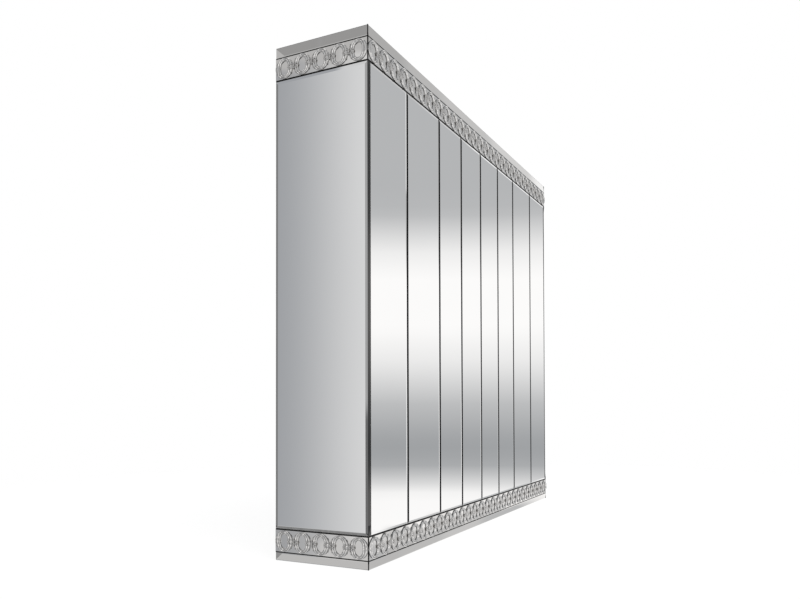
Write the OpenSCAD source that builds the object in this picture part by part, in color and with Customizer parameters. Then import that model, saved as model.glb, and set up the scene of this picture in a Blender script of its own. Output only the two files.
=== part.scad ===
// Mirror-clad armoire with eight hinged doors, a crown and a plinth with ring-chain friezes.
// Millimetres, +Z up, doors facing -Y, origin on the floor under the middle of the bounding box.

/* [Overall size] */
// Width between the outer faces of the side mirrors
body_w = 2970; // [2640:110:3300]
// Depth from the mirror fronts to the back panel
body_d = 565; // [550:5:600]
// Height from the floor to the top of the crown
total_h = 2700; // [2300:50:2800]
// Width of one of the four outer doors, as a share of two average doors
wide_share = 0.5556; // [0.50:0.01:0.60]

/* [Crown and plinth] */
// Height of the smooth mirror strip along the floor, measured from the floor
base_strip_h = 44; // [36:1:60]
// Height of the smooth mirror strip along the top
crown_strip_h = 56; // [40:1:70]
// Height of each ring frieze
frieze_h = 112; // [112:1:130]
// Height of the dark joint beads beside each frieze
bead_h = 6; // [2:0.5:7]
// Least distance from one ring to the next; the rings are then spread to fill each face
ring_pitch = 110; // [106:1:110]
// Height of the ring relief above the mirror faces
relief_h = 8; // [6:0.5:10]

/* [Glass] */
// Thickness of the mirror glass
glass_t = 5; // [4:0.5:6]
// Width of the ground bevel around each door mirror
bevel_w = 10; // [6:1:14]
// Width of the ground bevel around each side mirror
side_bevel_w = 14; // [10:1:18]
// Depth of the bevel at the edge of the glass
bevel_d = 1.6; // [0.8:0.1:2]
// Depth that the smooth strips slope back by at their outer edge
strip_slope_d = 3; // [1:0.5:3.5]
// Width of the front leg of the corner profiles
corner_leg_x = 22; // [18:1:24]
// Width of the side leg of the corner profiles
corner_leg_y = 4; // [3:0.5:6]

/* [Boards] */
// Thickness of the door, deck and frame boards
board_t = 18; // [16:1:19]
// Thickness of the two side panels
side_t = 16; // [12:1:16]
// Thickness of the partitions
partition_t = 25; // [22:1:28]
// Thickness of the back panels
back_t = 8; // [6:1:10]
// Thickness of the shelves
shelf_t = 22; // [18:1:25]
// Number of shelves in each of the two middle bays
shelf_count = 5; // [3:1:6]

/* [Doors] */
// Gap between neighbouring doors
door_gap = 8; // [8:0.5:10]
// Gap above and below each door
door_end_gap = 3; // [3:0.5:4]
// Distance of each pivot from the hinge edge of its door
pivot_inset = 18; // [17:0.5:19]
// Radius of the pivot pins
pivot_r = 3; // [2.5:0.1:3]
// Radial running clearance of the pivot pins in their bushes
pivot_clearance = 0.05; // [0.02:0.01:0.1]

/* [Hanging rails and latches] */
// Height of the hanging rails above the floor
rail_z = 2040; // [1700:20:2040]
// Outer radius of the hanging rails
rail_r = 12.5; // [10:0.5:15]
// Inward travel of the latch plungers
latch_travel = 2.5; // [1.5:0.1:2.5]

/* [Hidden] */
$fn = 48;

DOORS = [0 : 7];

// Colours
MIRROR = "#c9cdd1";
CRYSTAL = "#dfe2e4";
DARK = "#4a4a4b";
LAMINATE = "#c8c6c1";
STEEL = "#b8babd";
PLASTIC = "#3a3b3d";

// Main planes
half_w = body_w / 2;
front_y = relief_h - (body_d + relief_h) / 2;
back_y = front_y + body_d;
core_half_w = half_w - glass_t;
core_front = front_y + glass_t;
door_back = core_front + board_t;
carcass_front = door_back + 10;
inner_back = back_y - back_t;

// Levels
floor_gap = 3;
base_frieze_z = base_strip_h + bead_h;
base_top = base_frieze_z + frieze_h + bead_h;
base_deck_z = base_top - board_t;
crown_strip_z = total_h - crown_strip_h;
crown_frieze_z = crown_strip_z - bead_h - frieze_h;
crown_bottom = crown_frieze_z - bead_h;
crown_frame_z = crown_bottom + board_t;
lid_z = total_h - board_t;
bay_h = crown_bottom - base_top;
panel_margin = 2;
joint_gap = 0.2;
strip_land = 4;
arris_h = 3;
arris_d = 1;
bead_recess = 0.8;

// Doors: four wide outer ones and four narrow middle ones
average_door_w = body_w / 8;
wide_w = 2 * average_door_w * wide_share;
narrow_w = 2 * average_door_w - wide_w;
door_ws = [wide_w, wide_w, narrow_w, narrow_w, narrow_w, narrow_w, wide_w, wide_w];
function cell_left(i) = i == 0 ? -half_w : cell_left(i - 1) + door_ws[i - 1];
corner_gap = 5;
outer_door_edge = half_w - corner_leg_x - corner_gap;
function door_left(i) = max(cell_left(i) + door_gap / 2, -outer_door_edge);
function door_right(i) = min(cell_left(i + 1) - door_gap / 2, outer_door_edge);
function hinged_left(i) = i % 2 == 0;
function pivot_x(i) = hinged_left(i) ? door_left(i) + pivot_inset : door_right(i) - pivot_inset;
pivot_y = front_y + 11;
door_z = base_top + door_end_gap;
door_h = bay_h - 2 * door_end_gap;
pin_grip = 20;
pin_bore_r = pivot_r + pivot_clearance;
collar_r = pivot_r + 2;
bush_r = pivot_r + 1.5;
flange_r = bush_r + 1.3;
flange_h = 1;
collar_gap = 0.2;

// Bays between the side panels and the partitions
partition_xs = [cell_left(2), cell_left(4), cell_left(6)];
side_inner = core_half_w - side_t;
bay_lefts = [-side_inner, for (x = partition_xs) x + partition_t / 2];
bay_rights = [for (x = partition_xs) x - partition_t / 2, side_inner];
HANGING_BAYS = [0, 3];
SHELF_BAYS = [1, 2];
function bay_centre(b) = cell_left(2 * b + 1);
shelf_front = carcass_front + 10;
shelf_depth = inner_back - shelf_front;
shelf_play = 0.5;
hat_shelf_z = rail_z + 62;
shelf_step = (bay_h + shelf_t) / (shelf_count + 1);
function shelf_z(k) = base_top + k * shelf_step - shelf_t;
SHELVES = concat(
    [for (b = HANGING_BAYS) [b, hat_shelf_z]],
    [for (b = SHELF_BAYS, k = [1 : shelf_count]) [b, shelf_z(k)]]
);

// Shelf pins
shelf_pin_r = 2.5;
shelf_pin_in = 10;
shelf_pin_out = 8;
shelf_pin_ys = [shelf_front + 40, inner_back - 40];

// Hanging rails
rail_wall = 1.5;
rail_y = (carcass_front + inner_back) / 2;
socket_r = rail_r + 5.5;
socket_t = 12;
socket_base = 2;

// Latches: a sprung plunger in a housing under the top deck, behind each door's free corner
latch_offset = 40;
function latch_x(i) = bay_centre(floor(i / 2)) + (hinged_left(i) ? -latch_offset : latch_offset);
housing_w = 26;
housing_h = 26;
housing_d = 50;
housing_y = door_back + 4;
latch_z = crown_bottom - housing_h / 2;
guide_d = 10;
housing_wall = 5;
plunger_r = 4;
stem_r = 2.2;
spring_chamber_r = 6.5;
plunger_collar_r = 6;
strike_r = 8;
strike_t = 1;
latch_gap = 0.3;
plunger_tip_y = door_back + strike_t + latch_gap;
plunger_collar_y = housing_y + guide_d + 0.2;
plunger_collar_t = 3;
stem_l = 10;
spring_y = plunger_collar_y + plunger_collar_t + latch_travel + 0.2;
spring_l = housing_y + housing_d - housing_wall - spring_y;
spring_wire_r = 0.6;
spring_coil_r = 4.4;
spring_turns = 5;
spring_steps = 8;
spring_sides = 5;

// Levelling feet, one at the front and one at the back beside each cross board and end board
foot_pad_r = 22;
foot_pad_h = 8;
foot_stem_r = 5;
foot_stem_top = 100;
foot_block = [60, 60, 60];
foot_block_z = 20;
foot_offset = foot_block[0] / 2 + joint_gap;
foot_xs = [-core_half_w + board_t + foot_offset,
           for (x = partition_xs) x + board_t / 2 + foot_offset,
           core_half_w - board_t - foot_offset];
foot_ys = [door_back + foot_offset, back_y - board_t - foot_offset];

// Back screws, in lines down the edges that the back panels are fixed to
screw_r = 2;
screw_hole_r = 2.1;
screw_head_r = 4;
screw_head_h = 2;
screw_l = 35;
screw_rows = 6;
screw_end_margin = 60;
screw_xs = concat(
    [-core_half_w + side_t / 2, core_half_w - side_t / 2],
    [for (x = partition_xs, side = [-1, 1]) x + side * 6]
);
function screw_z(k) = base_top + screw_end_margin
    + k * (bay_h - 2 * screw_end_margin) / (screw_rows - 1);

// Wall brackets
bracket_w = 40;
bracket_t = 3;
bracket_drop = 80;
bracket_reach = 50;
bracket_hole_r = 4;
bracket_xs = [bay_centre(0), bay_centre(3)];
bracket_hole_z = crown_bottom - 50;

// Ring friezes
ring_r = ring_pitch / 2 - 1;
ring_inner_r = ring_r - 16;
ring_rim_h = 5.5;
ring_groove_h = 2.5;
clasp_l = 84;
clasp_w = 24;
clasp_hole_l = 64;
clasp_hole_w = 6;

eps = 0.01;

// ---------- Shared shapes ----------

// A box from its lowest corner to its highest
module box(low, high) {
    translate(low) cube(high - low);
}

// A sheet of glass lying in the XZ plane with its ground bevel facing -Y
module bevelled_glass(left, right, y, bottom, top) {
    hull() {
        box([left, y + bevel_d, bottom], [right, y + glass_t, top]);
        box([left + bevel_w, y, bottom + bevel_w], [right - bevel_w, y + eps, top - bevel_w]);
    }
}

// The same sheet on the left or right side face, side = -1 or 1
module bevelled_side_glass(side, front, bottom, top) {
    scale([side, 1, 1]) hull() {
        box([core_half_w, front, bottom], [half_w - bevel_d, back_y, top]);
        box([half_w - eps, front + side_bevel_w, bottom + side_bevel_w],
            [half_w, back_y - side_bevel_w, top - side_bevel_w]);
    }
}

// A cylinder along Y, from y to y + l
module bar_y(x, y, z, r, l) {
    translate([x, y, z]) rotate([-90, 0, 0]) cylinder(r = r, h = l);
}

// A cylinder along X, from x to x + l
module bar_x(x, y, z, r, l) {
    translate([x, y, z]) rotate([0, 90, 0]) cylinder(r = r, h = l);
}

// Four boards in a rectangle with a cross board under each partition
module board_frame(bottom, top) {
    box([-core_half_w, core_front, bottom], [core_half_w, door_back, top]);
    box([-core_half_w, back_y - board_t, bottom], [core_half_w, back_y, top]);
    for (side = [-1, 1])
        translate([side * (core_half_w - board_t / 2), 0, 0])
            cross_board(bottom, top);
    for (x = partition_xs)
        translate([x, 0, 0]) cross_board(bottom, top);
}

module cross_board(bottom, top) {
    box([-board_t / 2, door_back + joint_gap, bottom],
        [board_t / 2, back_y - board_t - joint_gap, top]);
}

// A strip of three plain panels round the front and both sides
module wrap_panels(bottom, top, recess = 0) {
    box([-core_half_w, front_y + recess, bottom], [core_half_w, core_front, top]);
    for (side = [-1, 1])
        scale([side, 1, 1])
            box([core_half_w, core_front + joint_gap, bottom], [half_w - recess, back_y, top]);
}

// A strip of three mirrors that slope back from a flush edge to a free edge, where a narrow
// arris is ground off. The side ones slope back towards the rear as well, so their ends show
// a mitre.
module wrap_sloped_glass(flush_z, free_z) {
    bottom = min(flush_z, free_z);
    top = max(flush_z, free_z);
    end_bevel = top - bottom;
    free_up = free_z > flush_z;
    land_z = free_up ? flush_z : flush_z - strip_land;
    slope_low = free_up ? bottom : bottom + arris_h;
    slope_high = free_up ? top - arris_h : top;
    edge_d = strip_slope_d + arris_d;
    hull() {
        box([-core_half_w, front_y + edge_d, bottom], [core_half_w, core_front, top]);
        box([-core_half_w, front_y + strip_slope_d, slope_low],
            [core_half_w, core_front, slope_high]);
        box([-core_half_w, front_y, land_z], [core_half_w, core_front, land_z + strip_land]);
    }
    for (side = [-1, 1])
        scale([side, 1, 1]) hull() {
            box([core_half_w, core_front + joint_gap, bottom], [half_w - edge_d, back_y, top]);
            box([core_half_w, core_front + joint_gap, slope_low],
                [half_w - strip_slope_d, back_y, slope_high]);
            box([core_half_w, core_front + joint_gap, land_z],
                [half_w, back_y - end_bevel, land_z + strip_land]);
        }
}

// Where a screw passes through a back panel and into the board in front of it
module screw_shapes(shank_r, head_r) {
    for (x = screw_xs, k = [0 : screw_rows - 1]) {
        bar_y(x, back_y - screw_l, screw_z(k), shank_r, screw_l);
        translate([x, back_y - screw_head_h, screw_z(k)]) rotate([-90, 0, 0])
            cylinder(r1 = shank_r, r2 = head_r, h = screw_head_h);
    }
}

// Pins that hold the shelves, also used to drill their holes
module shelf_pin_shapes(r, depth) {
    for (s = SHELVES, y = shelf_pin_ys) {
        bar_x(bay_lefts[s[0]] - depth, y, s[1] - shelf_pin_r, r, depth + shelf_pin_out);
        bar_x(bay_rights[s[0]] - shelf_pin_out, y, s[1] - shelf_pin_r, r, depth + shelf_pin_out);
    }
}

// ---------- Carcass ----------

module plinth_frame() color(LAMINATE) {
    board_frame(floor_gap, base_deck_z);
    for (x = foot_xs, y = foot_ys)
        difference() {
            translate([x - foot_block[0] / 2, y - foot_block[1] / 2, foot_block_z])
                cube(foot_block);
            translate([x, y, foot_block_z - 1])
                cylinder(r = foot_stem_r + 0.05, h = foot_block[2] + 2);
        }
}

module base_deck() color(LAMINATE) difference() {
    box([-core_half_w, core_front, base_deck_z], [core_half_w, back_y, base_top]);
    for (i = DOORS)
        translate([pivot_x(i), pivot_y, base_deck_z - 1]) cylinder(r = bush_r, h = board_t + 2);
}

module top_deck() color(LAMINATE) difference() {
    box([-core_half_w, core_front, crown_bottom], [core_half_w, back_y, crown_frame_z]);
    for (i = DOORS)
        translate([pivot_x(i), pivot_y, crown_bottom - 1]) cylinder(r = bush_r, h = board_t + 2);
}

module side_panels() color(LAMINATE) difference() {
    for (side = [-1, 1])
        scale([side, 1, 1])
            box([side_inner, front_y + corner_leg_y, base_top],
                [core_half_w, inner_back, crown_bottom]);
    shelf_pin_shapes(shelf_pin_r + 0.05, shelf_pin_in);
    screw_shapes(screw_hole_r, screw_hole_r);
}

module partition_panels() color(LAMINATE) difference() {
    for (x = partition_xs)
        box([x - partition_t / 2, carcass_front, base_top],
            [x + partition_t / 2, inner_back, crown_bottom]);
    shelf_pin_shapes(shelf_pin_r + 0.05, shelf_pin_in);
    screw_shapes(screw_hole_r, screw_hole_r);
}

module back_panels() color(LAMINATE) {
    edges = [-core_half_w, for (x = partition_xs) x, core_half_w];
    difference() {
        for (b = [0 : 3])
            box([edges[b] + joint_gap, inner_back, base_top],
                [edges[b + 1] - joint_gap, back_y, crown_bottom]);
        screw_shapes(screw_hole_r, screw_head_r + 0.1);
        for (x = bracket_xs)
            bar_y(x, inner_back - 1, bracket_hole_z, bracket_hole_r, back_t + 2);
    }
}

module crown_frame() color(LAMINATE) board_frame(crown_frame_z, lid_z);

module crown_lid() color(LAMINATE)
    box([-core_half_w, core_front, lid_z], [core_half_w, back_y, total_h]);

module back_screws() color(STEEL) screw_shapes(screw_r, screw_head_r);

// ---------- Mirror cladding ----------

module crown_mirror_strips() color(MIRROR) wrap_sloped_glass(crown_strip_z, total_h);

module base_mirror_strips() color(MIRROR) wrap_sloped_glass(base_strip_h, floor_gap);

module crown_frieze_mirrors() color(MIRROR)
    wrap_panels(crown_frieze_z, crown_frieze_z + frieze_h);

module base_frieze_mirrors() color(MIRROR)
    wrap_panels(base_frieze_z, base_frieze_z + frieze_h);

module side_mirrors() color(MIRROR)
    for (side = [-1, 1])
        bevelled_side_glass(side, front_y + corner_leg_y,
                            base_top + panel_margin, crown_bottom - panel_margin);

// Dark beads above and below each frieze, and down the front corners of the crown and plinth
module joint_beads() color(DARK) {
    for (z = [base_strip_h, base_top - bead_h, crown_bottom, crown_strip_z - bead_h])
        wrap_panels(z, z + bead_h, bead_recess);
    for (side = [-1, 1], span = [[floor_gap, base_top], [crown_bottom, total_h]])
        scale([side, 1, 1])
            box([core_half_w, front_y + bead_recess, span[0]],
                [half_w - bead_recess, core_front, span[1]]);
}

// Upright at a front corner: a square bar whose chamfer runs out to a point at both ends
module corner_profiles() color(DARK)
    for (side = [-1, 1])
        scale([side, 1, 1])
            difference() {
                box([half_w - corner_leg_x, front_y, base_top + panel_margin],
                    [half_w, front_y + corner_leg_y, crown_bottom - panel_margin]);
                chamfer_cutter();
            }

// Removes the outer corner: a row of triangles, full size except at the ends
module chamfer_cutter() {
    run_out = 50;
    low = base_top + panel_margin;
    high = crown_bottom - panel_margin;
    sections = [[low, 0], [low + run_out, 1], [high - run_out, 1], [high, 0]];
    over = 1;
    points = [for (s = sections)
        each [
            [half_w + over, front_y - over, s[0]],
            [half_w + over, front_y + corner_leg_y * (s[1] + over / corner_leg_x), s[0]],
            [half_w - corner_leg_x * (s[1] + over / corner_leg_y), front_y - over, s[0]]
        ]];
    sides = [for (k = [0 : len(sections) - 2], c = [0 : 2])
        let (a = 3 * k + c, n = 3 * k + (c + 1) % 3)
        each [[a, a + 3, n + 3], [a, n + 3, n]]];
    last = 3 * len(sections) - 3;
    polyhedron(points, concat([[0, 1, 2]], sides, [[last + 2, last + 1, last]]));
}

// ---------- Ring friezes ----------

// One ring with two raised rims and a groove between them, lying on the XY plane
module ring() {
    rim = (ring_r - ring_inner_r) / 4;
    rotate_extrude()
        polygon([
            [ring_inner_r, 0],
            [ring_inner_r, ring_rim_h],
            [ring_inner_r + rim, ring_rim_h],
            [ring_inner_r + 1.5 * rim, ring_groove_h],
            [ring_r - 1.5 * rim, ring_groove_h],
            [ring_r - rim, ring_rim_h],
            [ring_r, ring_rim_h],
            [ring_r, 0]
        ]);
}

module stadium(l, w) {
    square([l - w, w], center = true);
    for (side = [-1, 1])
        translate([side * (l - w) / 2, 0]) circle(d = w);
}

// The oval link laid across two neighbouring rings
module clasp() {
    translate([0, 0, ring_rim_h])
        linear_extrude(relief_h - ring_rim_h)
            difference() {
                stadium(clasp_l, clasp_w);
                stadium(clasp_hole_l, clasp_hole_w);
            }
}

// A row of rings and clasps along X, centred on the origin and spread over a face's length
module chain(length) {
    count = floor(length / ring_pitch);
    pitch = length / count;
    for (k = [0 : count - 1])
        translate([(k + 0.5 - count / 2) * pitch, 0, 0]) ring();
    for (k = [1 : count - 1])
        translate([(k - count / 2) * pitch, 0, 0]) clasp();
}

// The chains on the front and both sides, at the height of one frieze
module wrap_chain(z) {
    translate([0, front_y, z]) rotate([90, 0, 0]) chain(body_w);
    for (side = [-1, 1])
        translate([side * half_w, (front_y + back_y) / 2, z]) rotate([90, 0, side * 90])
            chain(body_d);
}

module crown_ring_chain() color(CRYSTAL) wrap_chain(crown_frieze_z + frieze_h / 2);

module base_ring_chain() color(CRYSTAL) wrap_chain(base_frieze_z + frieze_h / 2);

// ---------- Inside the bays ----------

module hanging_rails() color(STEEL)
    for (b = HANGING_BAYS) {
        left = bay_lefts[b] + socket_base;
        l = bay_rights[b] - socket_base - left;
        difference() {
            bar_x(left, rail_y, rail_z, rail_r, l);
            bar_x(left - 1, rail_y, rail_z, rail_r - rail_wall, l + 2);
        }
    }

module rail_sockets() color(STEEL)
    for (b = HANGING_BAYS) {
        rail_socket(bay_lefts[b], 1);
        rail_socket(bay_rights[b], -1);
    }

// A cup on the panel face at x, opening towards +X or -X
module rail_socket(x, side) {
    translate([x, rail_y, rail_z]) rotate([0, side * 90, 0])
        difference() {
            cylinder(r = socket_r, h = socket_t);
            translate([0, 0, socket_base]) cylinder(r = rail_r + 0.05, h = socket_t);
        }
}

module shelves() color(LAMINATE)
    for (s = SHELVES)
        translate([bay_lefts[s[0]] + shelf_play, shelf_front, s[1]])
            cube([bay_rights[s[0]] - bay_lefts[s[0]] - 2 * shelf_play, shelf_depth, shelf_t]);

module shelf_pins() color(STEEL) shelf_pin_shapes(shelf_pin_r, shelf_pin_in);

// ---------- Door pivots ----------

module pivot_bushes() color(PLASTIC)
    for (i = DOORS) {
        translate([pivot_x(i), pivot_y, base_deck_z]) bush();
        translate([pivot_x(i), pivot_y, crown_frame_z]) mirror([0, 0, 1]) bush();
    }

// A flanged bush, bored right through for the pivot pin
module bush() {
    difference() {
        union() {
            cylinder(r = bush_r - 0.05, h = board_t);
            translate([0, 0, board_t]) cylinder(r = flange_r, h = flange_h);
        }
        translate([0, 0, -1]) cylinder(r = pin_bore_r, h = board_t + flange_h + 2);
    }
}

module door_panel(i) color(LAMINATE) difference() {
    box([door_left(i), core_front, door_z], [door_right(i), door_back, door_z + door_h]);
    translate([pivot_x(i), pivot_y, door_z - 1]) cylinder(r = pin_bore_r, h = pin_grip + 2);
    translate([pivot_x(i), pivot_y, door_z + door_h - pin_grip - 1])
        cylinder(r = pin_bore_r, h = pin_grip + 2);
}

module door_mirror(i) color(MIRROR)
    bevelled_glass(door_left(i), door_right(i), front_y, door_z, door_z + door_h);

// The two pivot pins and the latch's strike plate
module door_pivots(i) color(STEEL) {
    translate([pivot_x(i), pivot_y, door_z]) pivot_pin();
    translate([pivot_x(i), pivot_y, door_z + door_h]) mirror([0, 0, 1]) pivot_pin();
    bar_y(latch_x(i), door_back, latch_z, strike_r, strike_t);
}

// A pin standing 20 mm into the door and reaching down into its bush, with a thrust collar
module pivot_pin() {
    reach = door_end_gap + board_t - 2;
    translate([0, 0, -reach]) cylinder(r = pivot_r, h = reach + pin_grip);
    collar_h = door_end_gap - flange_h - collar_gap;
    translate([0, 0, -collar_h]) cylinder(r = collar_r, h = collar_h);
}

// ---------- Latches ----------

module latch_housings() color(PLASTIC)
    for (i = DOORS)
        difference() {
            translate([latch_x(i) - housing_w / 2, housing_y, crown_bottom - housing_h])
                cube([housing_w, housing_d, housing_h]);
            bar_y(latch_x(i), housing_y - 1, latch_z, plunger_r + pivot_clearance, guide_d + 2);
            bar_y(latch_x(i), housing_y + guide_d, latch_z, spring_chamber_r,
                  housing_d - guide_d - housing_wall);
        }

module latch_plunger(i) color(PLASTIC) {
    bar_y(latch_x(i), plunger_tip_y, latch_z, plunger_r, plunger_collar_y - plunger_tip_y);
    bar_y(latch_x(i), plunger_collar_y, latch_z, plunger_collar_r, plunger_collar_t);
    bar_y(latch_x(i), plunger_collar_y + plunger_collar_t, latch_z, stem_r, stem_l);
}

module latch_springs() color(STEEL)
    for (i = DOORS)
        translate([latch_x(i), spring_y, latch_z]) rotate([-90, 0, 0]) coil_spring();

// A helix swept with a many-sided wire, standing on the XY plane
module coil_spring() {
    rings = spring_turns * spring_steps;
    rise = (spring_l - 2 * spring_wire_r) / rings;
    points = [for (k = [0 : rings], c = [0 : spring_sides - 1])
        let (turn = 360 * k / spring_steps, around = 360 * c / spring_sides,
             r = spring_coil_r + spring_wire_r * cos(around))
        [r * cos(turn), r * sin(turn), spring_wire_r * (1 + sin(around)) + rise * k]];
    skin = [for (k = [0 : rings - 1], c = [0 : spring_sides - 1])
        let (a = k * spring_sides + c, n = k * spring_sides + (c + 1) % spring_sides)
        each [[a, a + spring_sides, n + spring_sides], [a, n + spring_sides, n]]];
    first = [for (c = [0 : spring_sides - 1]) c];
    last = [for (c = [spring_sides - 1 : -1 : 0]) rings * spring_sides + c];
    polyhedron(points, concat([first], skin, [last]));
}

// ---------- Feet and wall fixing ----------

module levelling_feet() color(PLASTIC)
    for (x = foot_xs, y = foot_ys)
        translate([x, y, 0]) {
            cylinder(r = foot_pad_r, h = foot_pad_h);
            translate([0, 0, foot_pad_h])
                cylinder(r = foot_stem_r, h = foot_stem_top - foot_pad_h);
        }

// Angle plates under the top deck, each with one hole for a wall screw
module wall_brackets() color(STEEL)
    for (x = bracket_xs)
        difference() {
            union() {
                box([x - bracket_w / 2, inner_back - bracket_t, crown_bottom - bracket_drop],
                    [x + bracket_w / 2, inner_back, crown_bottom]);
                box([x - bracket_w / 2, inner_back - bracket_reach, crown_bottom - bracket_t],
                    [x + bracket_w / 2, inner_back, crown_bottom]);
            }
            bar_y(x, inner_back - bracket_t - 1, bracket_hole_z, bracket_hole_r, bracket_t + 2);
        }

// ---------- Nodes ----------

plinth_frame();
base_deck();
top_deck();
side_panels();
partition_panels();
back_panels();
crown_frame();
crown_lid();
crown_mirror_strips();
crown_frieze_mirrors();
crown_ring_chain();
base_frieze_mirrors();
base_mirror_strips();
base_ring_chain();
side_mirrors();
corner_profiles();
joint_beads();
hanging_rails();
rail_sockets();
shelves();
shelf_pins();
pivot_bushes();
latch_housings();
latch_springs();
levelling_feet();
back_screws();
wall_brackets();
for (i = DOORS) {
    door_panel(i);
    door_mirror(i);
    door_pivots(i);
    latch_plunger(i);
}
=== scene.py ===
"""Mirror-clad armoire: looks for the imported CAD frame. Metres, doors facing -Y."""

import math

import bmesh
import bpy
from mathutils import Matrix, Vector


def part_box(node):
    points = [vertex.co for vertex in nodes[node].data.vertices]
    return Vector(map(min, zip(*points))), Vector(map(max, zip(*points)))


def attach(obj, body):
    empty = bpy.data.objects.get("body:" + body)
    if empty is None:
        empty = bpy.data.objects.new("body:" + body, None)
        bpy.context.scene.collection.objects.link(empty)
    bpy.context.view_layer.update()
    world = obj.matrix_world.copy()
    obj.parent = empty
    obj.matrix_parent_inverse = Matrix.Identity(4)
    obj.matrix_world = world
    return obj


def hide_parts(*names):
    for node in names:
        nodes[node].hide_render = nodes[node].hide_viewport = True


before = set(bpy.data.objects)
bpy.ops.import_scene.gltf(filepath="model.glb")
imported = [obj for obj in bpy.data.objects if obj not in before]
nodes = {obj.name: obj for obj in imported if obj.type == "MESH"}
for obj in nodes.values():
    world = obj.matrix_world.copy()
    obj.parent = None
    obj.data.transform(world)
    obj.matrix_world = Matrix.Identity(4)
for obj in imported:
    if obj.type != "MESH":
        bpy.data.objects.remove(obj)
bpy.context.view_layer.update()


# ---------- Node trees ----------


def add(tree, kind, inputs=(), **settings):
    """A shader node. Its inputs are values, or sockets of other nodes to link from."""
    node = tree.nodes.new("ShaderNode" + kind)
    for name, value in settings.items():
        setattr(node, name, value)
    for key, value in dict(inputs).items():
        if isinstance(value, bpy.types.NodeSocket):
            tree.links.new(value, node.inputs[key])
        else:
            node.inputs[key].default_value = value
    return node


def maths(tree, operation, *values):
    """The result of one Math node."""
    return add(tree, "Math", dict(enumerate(values)), operation=operation).outputs[0]


def fade(tree, value, start, end, low=0.0, high=1.0):
    """Turns value smoothly from low at start to high at end."""
    inputs = {"Value": value, "From Min": start, "From Max": end, "To Min": low, "To Max": high}
    return add(tree, "MapRange", inputs, interpolation_type="SMOOTHSTEP").outputs["Result"]


def grey(level):
    """An even grey."""
    return (level, level, level, 1.0)


def mix(tree, factor, a, b):
    """Colour a where factor is 0 and b where it is 1."""
    node = add(tree, "Mix", data_type="RGBA")
    for socket, value in ((node.inputs[0], factor), (node.inputs[6], a), (node.inputs[7], b)):
        if isinstance(value, bpy.types.NodeSocket):
            tree.links.new(value, socket)
        else:
            socket.default_value = value
    return node.outputs[2]


def noise(tree, scale, stretch=(1, 1, 1), detail=3.0):
    """Noise in object coordinates, in features per metre, finer along an axis that is stretched."""
    place = add(tree, "TexCoord").outputs["Object"]
    place = add(tree, "Mapping", {"Vector": place, "Scale": stretch}).outputs[0]
    inputs = {"Vector": place, "Scale": scale, "Detail": detail}
    return add(tree, "TexNoise", inputs).outputs["Fac"]


def bump(tree, height, distance):
    """A normal that follows a height, which stands for distance metres where it is 1."""
    inputs = {"Height": height, "Distance": distance, "Strength": 1.0}
    return add(tree, "Bump", inputs).outputs["Normal"]


def principled(name, **inputs):
    """A new material. Returns it with its tree and its Principled shader."""
    material = bpy.data.materials.new(name)
    material.use_nodes = True
    shader = material.node_tree.nodes["Principled BSDF"]
    for key, value in inputs.items():
        shader.inputs[key.replace("_", " ")].default_value = value
    return material, material.node_tree, shader


def feed(tree, shader, **sockets):
    """Links sockets to the shader's inputs of the same names."""
    for key, socket in sockets.items():
        tree.links.new(socket, shader.inputs[key.replace("_", " ")])


# ---------- Materials ----------


def tinted(level, warmth):
    """A grey that leans to yellow by warmth, or to blue where warmth is below zero."""
    return (level + warmth / 2, level, level - warmth / 2, 1.0)


def smudged(tree, haze):
    """The roughness of clean glass with a trace of smudging."""
    smudge = noise(tree, 14.0, stretch=(1, 1, 0.3))
    return fade(tree, smudge, 0.3, 0.8, haze, haze + 0.01)


def silver_mirror(name, level, haze, warmth):
    """Silvered glass with a faint tint and cloudiness."""
    material, tree, shader = principled(name, Metallic=1.0)
    cloud = noise(tree, 3.0)
    feed(
        tree,
        shader,
        Base_Color=mix(tree, cloud, tinted(level - 0.01, warmth), tinted(level + 0.01, warmth)),
        Roughness=smudged(tree, haze),
    )
    return material


def shade_edged_mirror(name, level, haze, warmth, border_top):
    """Mirror glass with a painted shade along its bottom edge: below border_top its colour is darker
    and patchy.
    """
    material, tree, shader = principled(name, Metallic=1.0)
    place = add(tree, "TexCoord").outputs["Object"]
    height = add(tree, "SeparateXYZ", {0: place}).outputs["Z"]
    # Painted shade: a patchy dark grey below border_top, standing in for the shade reflected along the
    # foot
    painted_shade_level = fade(tree, noise(tree, 40.0), 0.2, 0.8, 0.36, 0.46)
    painted_shade = mix(tree, painted_shade_level, grey(0.0), grey(1.0))
    unshaded = maths(tree, "GREATER_THAN", height, border_top)
    feed(
        tree,
        shader,
        Base_Color=mix(tree, unshaded, painted_shade, tinted(level, warmth)),
        Roughness=smudged(tree, haze),
    )
    return material


def groove_shaded_relief(name, groove_height, ridge_height, groove_shade_level, ridge_level):
    """Moulded mirror glass with painted shade in the grooves: bright on the ridges and dark in the
    grooves.
    """
    material, tree, shader = principled(name, Metallic=1.0)
    place = add(tree, "TexCoord").outputs["Object"]
    height = add(tree, "SeparateXYZ", {0: place}).outputs["Z"]
    # Painted shade: the colour darkens from the ridges down into the grooves
    ridge = fade(tree, height, groove_height, ridge_height)
    grain = noise(tree, 900.0, detail=2.0)
    ripple = noise(tree, 160.0)
    feed(
        tree,
        shader,
        Base_Color=mix(tree, ridge, grey(groove_shade_level), tinted(ridge_level, 0.03)),
        Roughness=fade(tree, grain, 0.2, 0.8, 0.03, 0.08),
        Normal=bump(tree, ripple, 0.0003),
    )
    return material


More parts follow.
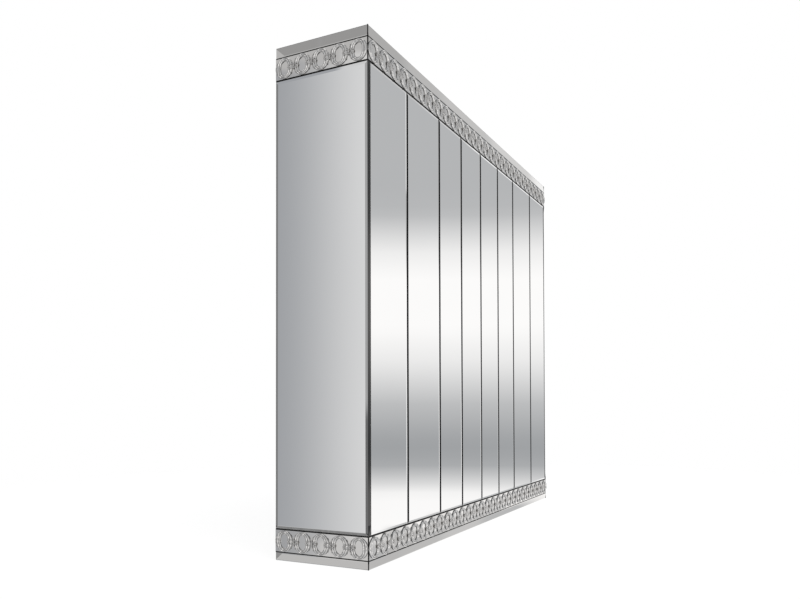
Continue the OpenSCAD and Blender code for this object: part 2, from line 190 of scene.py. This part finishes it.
def smoked_mirror():
    """Nearly black glass for the corner profiles."""
    material, tree, shader = principled("smoked_mirror", Metallic=1.0)
    cloud = noise(tree, 6.0, stretch=(1, 1, 0.2))
    feed(
        tree,
        shader,
        Base_Color=mix(tree, cloud, grey(0.07), grey(0.11)),
        Roughness=fade(tree, cloud, 0.2, 0.8, 0.02, 0.04),
    )
    return material


def plastic(name, level, roughness, gloss=0.5):
    """Moulded plastic with a fine grain."""
    material, tree, shader = principled(name, Specular_IOR_Level=gloss)
    grain = noise(tree, 700.0)
    feed(
        tree,
        shader,
        Base_Color=mix(tree, grain, grey(level * 0.9), grey(level * 1.1)),
        Roughness=fade(tree, grain, 0.2, 0.8, roughness - 0.05, roughness + 0.05),
        Normal=bump(tree, grain, 0.00005),
    )
    return material


def steel(name, level, roughness, stretch):
    """Steel whose fine scratches run along the axis with the smallest stretch."""
    material, tree, shader = principled(name, Metallic=1.0)
    scratches = noise(tree, 60.0, stretch=stretch)
    feed(
        tree,
        shader,
        Base_Color=mix(tree, scratches, grey(level * 0.92), grey(level)),
        Roughness=fade(tree, scratches, 0.3, 0.7, roughness * 0.7, roughness * 1.3),
        Normal=bump(tree, scratches, 0.00004),
    )
    return material


def laminate(name, stretch, edge_shade_level=None):
    """Pale grey laminate. With an edge level, the faces that look along X or Z are banded in it, a
    painted shade that darkens the seams between the doors.
    """
    material, tree, shader = principled(name)
    grain = noise(tree, 9.0, stretch=stretch, detail=6.0)
    pores = noise(tree, 60.0, stretch=stretch, detail=2.0)
    pale = (0.64, 0.63, 0.61, 1.0)
    deep = (0.57, 0.56, 0.54, 1.0)
    colour = mix(tree, fade(tree, grain, 0.3, 0.7), pale, deep)
    if edge_shade_level is not None:
        normal = add(tree, "TexCoord").outputs["Normal"]
        facing = add(tree, "SeparateXYZ", {0: normal}).outputs["Y"]
        # Painted shade: the edge faces, which line the seams between doors, take the dark edge level
        edge = maths(tree, "LESS_THAN", maths(tree, "ABSOLUTE", facing), 0.5)
        colour = mix(tree, edge, colour, grey(edge_shade_level))
    feed(
        tree,
        shader,
        Base_Color=colour,
        Roughness=fade(tree, pores, 0.3, 0.7, 0.38, 0.5),
        Normal=bump(tree, pores, 0.00006),
    )
    return material


DOOR_COUNT = 8
SIDE_MIRROR_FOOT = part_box("side_mirrors")[0].z
# Height of the painted shade along the foot of the side mirrors
PAINTED_SHADE_BORDER = 0.012

MATERIALS = {
    "strip": silver_mirror("strip_mirror", 0.9, 0.03, 0.025),
    "frieze": silver_mirror("frieze_mirror", 0.9, 0.012, 0.03),
    "door": silver_mirror("door_mirror", 0.96, 0.006, 0.0),
    "side": shade_edged_mirror("side_mirror", 0.96, 0.006, -0.006, SIDE_MIRROR_FOOT + PAINTED_SHADE_BORDER),
    "relief": groove_shaded_relief("ring_relief", 0.0012, 0.0042, 0.14, 0.92),
    "clasp": groove_shaded_relief("clasp_relief", 0.001, 0.0075, 0.2, 0.7),
    "corner": smoked_mirror(),
    "bead": plastic("dark_bead", 0.012, 0.6, gloss=0.1),
    "dark_plastic": plastic("dark_plastic", 0.04, 0.5),
    "pale_plastic": plastic("pale_plastic", 0.6, 0.45),
    "board": laminate("laminate_board", (1, 14, 14)),
    "upright": laminate("laminate_upright", (14, 14, 0.6)),
    "door_board": laminate("laminate_door", (14, 14, 0.6), edge_shade_level=0.05),
    "polished": steel("polished_steel", 0.75, 0.12, (0.3, 6, 6)),
    "spring": steel("spring_steel", 0.55, 0.3, (6, 6, 1)),
}

FINISHES = {
    "crown_mirror_strips": "strip",
    "base_mirror_strips": "strip",
    "crown_frieze_mirrors": "frieze",
    "base_frieze_mirrors": "frieze",
    "side_mirrors": "side",
    "corner_profiles": "corner",
    "joint_beads": "bead",
    "crown_ring_chain": "relief",
    "base_ring_chain": "relief",
    "plinth_frame": "board",
    "base_deck": "board",
    "top_deck": "board",
    "side_panels": "upright",
    "partition_panels": "upright",
    "back_panels": "upright",
    "crown_frame": "board",
    "crown_lid": "board",
    "shelves": "board",
    "hanging_rails": "polished",
    "rail_sockets": "polished",
    "shelf_pins": "polished",
    "pivot_bushes": "dark_plastic",
    "latch_housings": "dark_plastic",
    "levelling_feet": "dark_plastic",
    "latch_springs": "spring",
    "back_screws": "spring",
    "wall_brackets": "spring",
}
for number in range(1, DOOR_COUNT + 1):
    FINISHES[f"door_{number}_panel"] = "door_board"
    FINISHES[f"door_{number}_mirror"] = "door"
    FINISHES[f"door_{number}_pivots"] = "polished"
    FINISHES[f"latch_plunger_{number}"] = "pale_plastic"


def finish_piece(piece, finish):
    """Gives a piece one material in place of those it has."""
    piece.data.materials.clear()
    piece.data.materials.append(MATERIALS[finish])


for name, finish in FINISHES.items():
    finish_piece(nodes[name], finish)


# ---------- Ring friezes ----------

# The least distance between ring centres. The rings spread out to fill their face.
LEAST_RING_PITCH = 0.110
RELIEF = 0.008
UP = Vector((0.0, 0.0, 1.0))

# A ring is a band round an oval opening. Its ridges wander across it by SWIRL of a ridge each way.
RING_RADIUS = 0.0545
OPENING_WIDTH = 0.050
OPENING_HEIGHT = 0.076
RIDGES = 2
SWIRL = 0.35
RIDGE_HEIGHT = 0.0062
GROOVE_HEIGHT = 0.0015
RING_STEPS = 72
RIDGE_STEPS = 7

# A clasp is an oval wire with crossed strands and three knobs
CLASP_LENGTH = 0.070
CLASP_WIDTH = 0.026
CLASP_STEPS = 32
WIRE_RADIUS = 0.0022
WIRE_SIDES = 8
STRAND_DROP = 0.001
STRAND_REACH = (0.016, 0.036)
STRAND_STEPS = 4
KNOB_OFFSET = 0.021
KNOB_LENGTH = 0.022
KNOB_WIDTH = 0.015
MIDDLE_KNOB_WIDTH = 0.0105
KNOB_DROP = 0.0005
DOME_LEVELS = 8
DOME_SIDES = 16


class Shape:
    """Points and faces of a mesh built up from closed shells."""

    def __init__(self):
        self.points = []
        self.faces = []

    def skin(self, loops, closed):
        """Joins loops of equal length in a row, then closes the row on itself or caps its ends."""
        rows = []
        for loop in loops:
            start = len(self.points)
            self.points += loop
            rows.append(range(start, len(self.points)))
        pairs = list(zip(rows, rows[1:]))
        if closed:
            pairs.append((rows[-1], rows[0]))
        else:
            self.faces.append(tuple(reversed(rows[0])))
            self.faces.append(tuple(rows[-1]))
        for row, after in pairs:
            for k in range(len(row)):
                n = (k + 1) % len(row)
                self.faces.append((row[k], row[n], after[n], after[k]))

    def sweep(self, path, section, closed):
        """Carries a section of (side, height) points along a path that lies level."""
        loops = []
        for k, place in enumerate(path):
            before = path[k - 1] if closed or k > 0 else place
            after = path[(k + 1) % len(path)] if closed or k + 1 < len(path) else place
            side = (after - before).cross(UP).normalized()
            loops.append([place + side * s + UP * h for s, h in section])
        self.skin(loops, closed)

    def dome(self, x, y, length, width, height):
        """A flattened bead standing on the ground."""
        loops = []
        for k in range(1, DOME_LEVELS):
            polar = math.pi * k / DOME_LEVELS
            reach_x = length / 2 * math.sin(polar)
            reach_y = width / 2 * math.sin(polar)
            z = height / 2 * (1 - math.cos(polar))
            loop = []
            for s in range(DOME_SIDES):
                around = math.tau * s / DOME_SIDES
                loop.append(Vector((x + reach_x * math.cos(around), y + reach_y * math.sin(around), z)))
            loops.append(loop)
        self.skin(loops, closed=False)


def ring_loop(x, turn):
    """A cut through a ring's band at one turn about its centre, with rounded ridges on top."""
    half_w = OPENING_WIDTH / 2
    half_h = OPENING_HEIGHT / 2
    outward = Vector((math.cos(turn), math.sin(turn), 0.0))
    opening = half_w * half_h / math.hypot(half_h * outward.x, half_w * outward.y)
    steps = RIDGE_STEPS * RIDGES
    profile = [(0.0, 0.0)]
    for k in range(steps + 1):
        wave = abs(math.sin(math.pi * (RIDGES * k / steps + SWIRL * math.cos(2 * turn))))
        profile.append((k / steps, GROOVE_HEIGHT + (RIDGE_HEIGHT - GROOVE_HEIGHT) * wave))
    profile.append((1.0, 0.0))
    centre = Vector((x, 0.0, 0.0))
    band = RING_RADIUS - opening
    return [centre + outward * (opening + band * across) + UP * h for across, h in profile]


def wire_section(radius, height):
    """A round wire whose centre runs at a height."""
    turns = [math.tau * k / WIRE_SIDES for k in range(WIRE_SIDES)]
    return [(radius * math.cos(t), height - radius * math.sin(t)) for t in turns]


def circle_path(x, radius, steps):
    """A level circle about a point on the X axis."""
    turns = [math.tau * k / steps for k in range(steps)]
    return [Vector((x + radius * math.cos(t), radius * math.sin(t), 0.0)) for t in turns]


def oval_path(x, length, width, steps):
    """A circle pulled apart along X."""
    path = circle_path(0.0, width / 2, steps)
    straight = (length - width) / 2
    return [p + Vector((x + math.copysign(straight, p.x), 0.0, 0.0)) for p in path]


def add_clasp(shape, x):
    """The link over the place where two rings meet: an oval wire, crossed strands and knobs."""
    centre_height = RELIEF - WIRE_RADIUS
    wire = wire_section(WIRE_RADIUS, centre_height)
    oval = oval_path(x, CLASP_LENGTH - 2 * WIRE_RADIUS, CLASP_WIDTH - 2 * WIRE_RADIUS, CLASP_STEPS)
    shape.sweep(oval, wire, closed=True)
    shape.dome(x, 0.0, KNOB_WIDTH, MIDDLE_KNOB_WIDTH, RELIEF)
    reach_x, reach_y = STRAND_REACH
    for side in (-1, 1):
        shape.dome(x + side * KNOB_OFFSET, 0.0, KNOB_LENGTH, KNOB_WIDTH, RELIEF - KNOB_DROP)
        start = Vector((x - side * reach_x, -reach_y, 0.0))
        end = Vector((x + side * reach_x, reach_y, 0.0))
        strand = [start.lerp(end, k / STRAND_STEPS) for k in range(STRAND_STEPS + 1)]
        shape.sweep(strand, wire_section(WIRE_RADIUS, centre_height - STRAND_DROP), closed=False)


def place_relief(name, shape, finish, place, node):
    """Makes a shape into a piece of the carcass that stands in for a CAD ring chain."""
    mesh = bpy.data.meshes.new(name)
    mesh.from_pydata(shape.points, [], shape.faces)
    mesh.shade_smooth()
    piece = bpy.data.objects.new(name, mesh)
    bpy.context.scene.collection.objects.link(piece)
    piece.matrix_world = place
    finish_piece(piece, finish)
    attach(piece, "carcass")
    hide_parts(node)


def ring_chain(level, face, length, place):
    """Rings and clasps in a row along X, spread over a face and moved onto it by place."""
    count = int(length / LEAST_RING_PITCH + 0.001)
    pitch = length / count
    turns = [math.tau * k / RING_STEPS for k in range(RING_STEPS)]
    rings = Shape()
    for k in range(count):
        ring_x = (k + 0.5 - count / 2) * pitch
        rings.skin([ring_loop(ring_x, turn) for turn in turns], closed=True)
    clasps = Shape()
    for k in range(1, count):
        add_clasp(clasps, (k - count / 2) * pitch)
    node = f"{level}_ring_chain"
    place_relief(f"{level}_rings_{face}", rings, "relief", place, node)
    place_relief(f"{level}_clasps_{face}", clasps, "clasp", place, node)


def stand(direction, x, y, z):
    """Stands the XY plane up at a point, turned to face along -Y (0), -X (-90) or +X (90)."""
    turn = Matrix.Rotation(math.radians(direction), 4, "Z")
    return Matrix.Translation((x, y, z)) @ turn @ Matrix.Rotation(math.radians(90), 4, "X")


def build_ring_chains(level):
    """Covers the front and both sides of the crown's or the base's frieze mirrors."""
    low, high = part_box(f"{level}_frieze_mirrors")
    width = high.x - low.x
    depth = high.y - low.y
    y = (low.y + high.y) / 2
    z = (low.z + high.z) / 2
    ring_chain(level, "front", width, stand(0, 0.0, low.y, z))
    ring_chain(level, "left", depth, stand(-90, low.x, y, z))
    ring_chain(level, "right", depth, stand(90, high.x, y, z))


for level in ("crown", "base"):
    build_ring_chains(level)


# ---------- Floor ----------

FLOOR_RADIUS = 6.0
FLOOR_FADE_START = 2.0
FLOOR_FADE_END = 5.5


def build_floor():
    """A pale disc that fades out into the white around it. The mirrors don't show it."""
    mesh = bmesh.new()
    bmesh.ops.create_circle(mesh, cap_ends=True, segments=96, radius=FLOOR_RADIUS)
    data = bpy.data.meshes.new("floor")
    mesh.to_mesh(data)
    mesh.free()
    floor = bpy.data.objects.new("floor", data)
    bpy.context.scene.collection.objects.link(floor)
    floor.visible_glossy = False
    material, tree, shader = principled("floor_paper", Roughness=0.9, Emission_Strength=0.9)
    place = add(tree, "TexCoord").outputs["Object"]
    distance = add(tree, "VectorMath", {0: place}, operation="LENGTH").outputs["Value"]
    feed(
        tree,
        shader,
        Base_Color=mix(tree, noise(tree, 40.0), grey(0.10), grey(0.12)),
        Emission_Color=mix(tree, noise(tree, 40.0), grey(0.98), grey(1.0)),
        Alpha=fade(tree, distance, FLOOR_FADE_START, FLOOR_FADE_END, 1.0, 0.0),
    )
    data.materials.append(material)


# ---------- Room, light and camera ----------

# Grey level of the room by elevation in degrees
ROOM = (
    (-60, 0.3),
    (-45, 0.5),
    (-27, 0.62),
    (-22.5, 1.0),
    (-18.6, 1.0),
    (-17.8, 0.52),
    (-11.2, 0.52),
    (-10.2, 1.0),
    (-7.2, 0.98),
    (-6.2, 0.69),
    (-5, 0.43),
    (-3.8, 0.37),
    (-2.6, 0.39),
    (0, 0.53),
    (3.3, 0.85),
    (6, 1.0),
    (10, 1.0),
    (12, 0.88),
    (15, 0.50),
    (17, 0.48),
    (54, 0.48),
    (57, 0.2),
    (75, 0.2),
    (80, 1.0),
)

# Tones above the neutral level lean to yellow and those below it to blue
ROOM_WARMTH = 0.06
NEUTRAL_LEVEL = 0.75

# Cards hung in the room: grey level, azimuth range, elevation range and feathered edge, in degrees.
# Azimuth runs from +X (0) through +Y (90) to -X (180), and a later card covers an earlier one. The
# left side of the armoire mirrors the first fourteen and the front mirrors the rest.
CARDS = (
    # Sky over the left
    (0.95, (95, 178), (48, 90), 8),
    # Side crown strip
    (0.33, (139, 143), (30.0, 32.9), 0.6),
    (0.33, (143, 156), (30.5, 35.0), 0.6),
    # Side crown frieze and the mitre behind its strip
    (0.50, (131, 143.5), (24.7, 30.0), 0.6),
    (0.50, (143.5, 147), (25.5, 30.5), 0.6),
    (0.50, (147, 156), (26.3, 31.0), 0.6),
    # Side mirror's top bevel
    (0.62, (142.5, 147), (35.2, 41), 1),
    # Side base frieze, the strip under it, the ground, and the strip's rear mitre
    (0.60, (145.3, 156), (-15, -10.7), 0.6),
    (0.53, (139, 156), (-25, -15), 1),
    (0.30, (136, 156), (-45, -25), 2),
    (0.28, (131, 139), (-40, -11), 2),
    # Side mirror's rear bevel, then its front bevel above and below eye level
    (0.20, (95, 130.5), (-30, 90), 1.5),
    (0.36, (156, 178), (0, 29), 3),
    (0.15, (156, 178), (-14, 0), 3),
    # Doors' left bevels, then their right bevels low and high
    (0.01, (-47.5, -33.5), (-16, 34), 1),
    (1.0, (-15, 8), (-90, 8), 2),
    (0.40, (-13, 8), (11, 45), 4),
    # Front crown strip, from near to far
    (0.45, (-32, -24.5), (26.5, 45), 1),
    (0.52, (-24.5, -22), (23.3, 45), 1),
    (0.58, (-22, -18.5), (21.2, 45), 1),
    (0.68, (-18.5, -8), (17.5, 45), 1),
    (0.95, (-15.4, -8), (16.6, 45), 0.8),
    # Front base strip, from near to far
    (0.52, (-29.5, -26), (-18, -9.9), 1),
    (0.54, (-26, -23), (-18, -8.9), 1),
    (0.60, (-23, -20), (-18, -8.0), 1),
)

# The wall that the left side mirrors: its azimuths, and the two between which it turns to light
WALL_START, WALL_END = 100, 178
SHADE_END, LIGHT_START = 141.2, 150.4
SHADE = (0.351, 0.361, 0.378, 1.0)
LIGHT = (0.7, 0.7, 0.7, 1.0)


def band(tree, value, low, high, feather):
    """1 between low and high, fading to 0 over feather degrees at both ends."""
    rise = fade(tree, value, low - feather / 2, low + feather / 2)
    fall = fade(tree, value, high - feather / 2, high + feather / 2, 1.0, 0.0)
    return maths(tree, "MULTIPLY", rise, fall)


def room_by_elevation(tree, elevation):
    """The tones of ROOM on a ramp that runs from straight down to straight up."""
    position = maths(tree, "MULTIPLY_ADD", elevation, 1 / 180, 0.5)
    ramp = add(tree, "ValToRGB", {"Fac": position})
    stops = ramp.color_ramp.elements
    while len(stops) < len(ROOM):
        stops.new(0.5)
    for stop, (degrees, level) in zip(stops, ROOM):
        stop.position = degrees / 180 + 0.5
        stop.color = tinted(level, ROOM_WARMTH * (level - NEUTRAL_LEVEL))
    return ramp.outputs["Color"]


def hang_wall(tree, azimuth, room):
    """Covers the room's left with a wall that turns from shade to light."""
    wall = mix(tree, fade(tree, azimuth, SHADE_END, LIGHT_START), SHADE, LIGHT)
    return mix(tree, band(tree, azimuth, WALL_START, WALL_END, 4), room, wall)


def hang_cards(tree, azimuth, elevation, room):
    """Covers the room with the cards in turn."""
    for level, azimuths, elevations, feather in CARDS:
        across = band(tree, azimuth, *azimuths, feather)
        up = band(tree, elevation, *elevations, feather)
        room = mix(tree, maths(tree, "MULTIPLY", across, up), room, grey(level))
    return room


def build_room():
    """A room of grey tones that only the mirrors see. The camera sees plain white."""
    world = bpy.data.worlds.new("room")
    bpy.context.scene.world = world
    world.use_nodes = True
    tree = world.node_tree
    direction = add(tree, "TexCoord").outputs["Generated"]
    parts = add(tree, "SeparateXYZ", {0: direction})
    azimuth = maths(tree, "ARCTAN2", parts.outputs["Y"], parts.outputs["X"])
    azimuth = maths(tree, "DEGREES", azimuth)
    elevation = maths(tree, "DEGREES", maths(tree, "ARCSINE", parts.outputs["Z"]))
    room = room_by_elevation(tree, elevation)
    room = hang_wall(tree, azimuth, room)
    room = hang_cards(tree, azimuth, elevation, room)
    camera_ray = add(tree, "LightPath").outputs["Is Camera Ray"]
    seen = mix(tree, camera_ray, room, grey(1.0))
    tree.links.new(seen, tree.nodes["Background"].inputs["Color"])


KEY_STRENGTH = 2.4
KEY_SPREAD = 40
KEY_TURNS = (35, -20, 0)


def build_light():
    """A broad soft light from the front left that the mirrors don't show."""
    data = bpy.data.lights.new("key", "SUN")
    data.energy = KEY_STRENGTH
    data.angle = math.radians(KEY_SPREAD)
    light = bpy.data.objects.new("key", data)
    light.rotation_euler = [math.radians(turn) for turn in KEY_TURNS]
    light.visible_glossy = False
    bpy.context.scene.collection.objects.link(light)


CAMERA_LENS = 32.218
CAMERA_SHIFT = (-0.03945, 0.11363)
CAMERA_PLACE = (-4.5122, -2.0839, 0.8163)
CAMERA_TURNS = (91.074, 0.188, -64.218)


def build_camera():
    """Looks from beyond the left front corner, nearly level."""
    data = bpy.data.cameras.new("camera")
    data.lens = CAMERA_LENS
    data.shift_x, data.shift_y = CAMERA_SHIFT
    camera = bpy.data.objects.new("camera", data)
    camera.location = CAMERA_PLACE
    camera.rotation_euler = [math.radians(turn) for turn in CAMERA_TURNS]
    bpy.context.scene.collection.objects.link(camera)
    bpy.context.scene.camera = camera


build_floor()
build_room()
build_light()
build_camera()
bpy.context.scene.view_settings.view_transform = "Standard"
